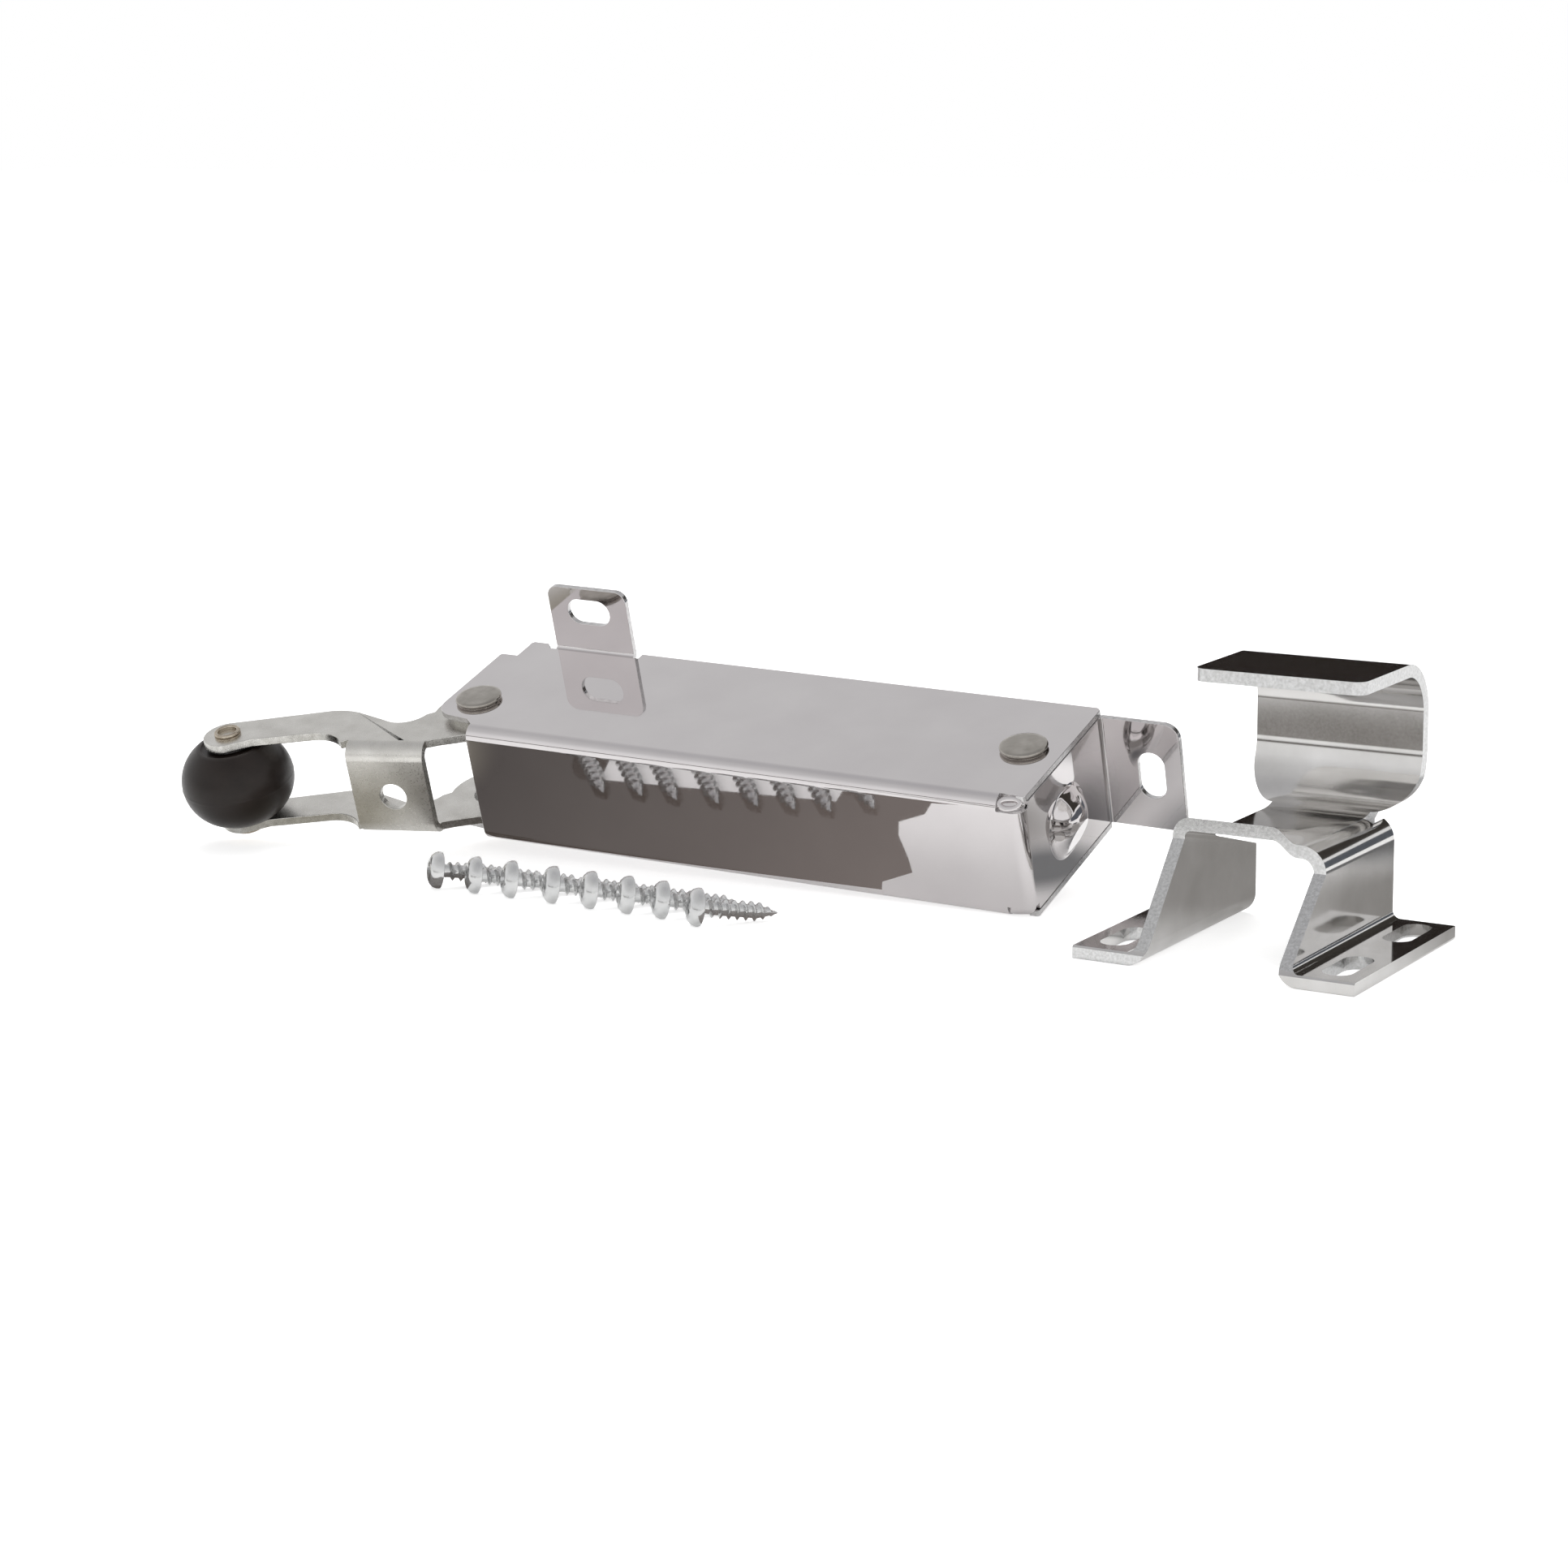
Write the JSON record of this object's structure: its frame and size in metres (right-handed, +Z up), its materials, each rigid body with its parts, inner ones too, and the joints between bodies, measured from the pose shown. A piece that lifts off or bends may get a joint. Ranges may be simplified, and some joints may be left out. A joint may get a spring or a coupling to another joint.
{
  "type": "concealed door closer",
  "caption": "Concealed snap-action door closer: sprung channel housing with a roller arm, its hooked strike bracket and loose mounting screws.",
  "frame": {"origin": "on the table, under the middle of the whole layout", "axes": "+X along the closer towards its end plate and the strike, +Y away from the viewer towards the mounting faces, +Z up"},
  "size_m": [0.325, 0.0936, 0.0662],
  "materials": {
    "housing": "bright zinc plated",
    "arm_rivet": "brushed nickel",
    "arm_sleeve": "ground",
    "anchor_rivet": "brushed nickel",
    "anchor_sleeve": "ground",
    "anchor_spacer_upper": "natural",
    "anchor_spacer_lower": "natural",
    "arm": "zinc plated",
    "arm_bush_upper": "plain",
    "arm_bush_lower": "plain",
    "crank_pin": "plain",
    "crank_spacer_upper": "natural",
    "crank_spacer_lower": "natural",
    "roller_rivet": "plain",
    "roller_washer_upper": "plain",
    "roller_washer_lower": "plain",
    "roller": "moulded, matt",
    "roller_sleeve": "plain",
    "guide_rod": "ground",
    "front_spring_seat": "plain",
    "guide_tube": "drawn",
    "rear_spring_seat": "plain",
    "spring": "oiled",
    "strike": "bright plated",
    "screws": "bright zinc plated"
  },
  "bodies": {
    "housing": {"housing": "housing", "arm_rivet": "arm_rivet", "arm_sleeve": "arm_sleeve", "anchor_rivet": "anchor_rivet", "anchor_sleeve": "anchor_sleeve", "anchor_spacer_upper": "anchor_spacer_upper", "anchor_spacer_lower": "anchor_spacer_lower"},
    "arm": {"arm": "arm", "arm_bush_upper": "arm_bush_upper", "arm_bush_lower": "arm_bush_lower", "crank_pin": "crank_pin", "crank_spacer_upper": "crank_spacer_upper", "crank_spacer_lower": "crank_spacer_lower", "roller_rivet": "roller_rivet", "roller_washer_upper": "roller_washer_upper", "roller_washer_lower": "roller_washer_lower"},
    "roller": {"roller": "roller", "roller_sleeve": "roller_sleeve"},
    "rod": {"guide_rod": "guide_rod", "front_spring_seat": "front_spring_seat"},
    "tube": {"guide_tube": "guide_tube", "rear_spring_seat": "rear_spring_seat", "spring": "spring"},
    "strike": {"strike": "strike"},
    "screws": {"screws": "screws"}
  },
  "joints": [
    {"name": "arm_pivot", "type": "hinge", "parent": "housing", "child": "arm", "pos_m": [-0.08816, 0.00164, 0.02381], "axis": [0.0442, -0.3051, 0.9513], "range_deg": [-42, 6], "deforming": ["spring"]},
    {"name": "roller_spin", "type": "hinge", "parent": "arm", "child": "roller", "pos_m": [-0.14797, -0.02739, 0.01728], "axis": [0.0442, -0.3051, 0.9513], "continuous": true},
    {"name": "rod_swing", "type": "hinge", "parent": "arm", "child": "rod", "pos_m": [-0.07379, 0.0085, 0.02535], "axis": [0.0442, -0.3051, 0.9513], "range_deg": [-6.8, 47]},
    {"name": "guide_swing", "type": "hinge", "parent": "housing", "child": "tube", "pos_m": [0.05999, 0.01817, 0.02224], "axis": [0.0442, -0.3051, 0.9513], "range_deg": [-0.8, 5]},
    {"name": "strike_lift", "type": "slide", "parent": "housing", "child": "strike", "axis": [0, 0, 1], "range_m": [0, 0.06]},
    {"name": "screws_lift", "type": "slide", "parent": "housing", "child": "screws", "axis": [0, 0, 1], "range_m": [0, 0.03]}
  ],
  "couplings": [
    {"joint": "rod_swing", "follows": "arm_pivot", "ratio": -1.116},
    {"joint": "guide_swing", "follows": "arm_pivot", "ratio": -0.116}
  ]
}
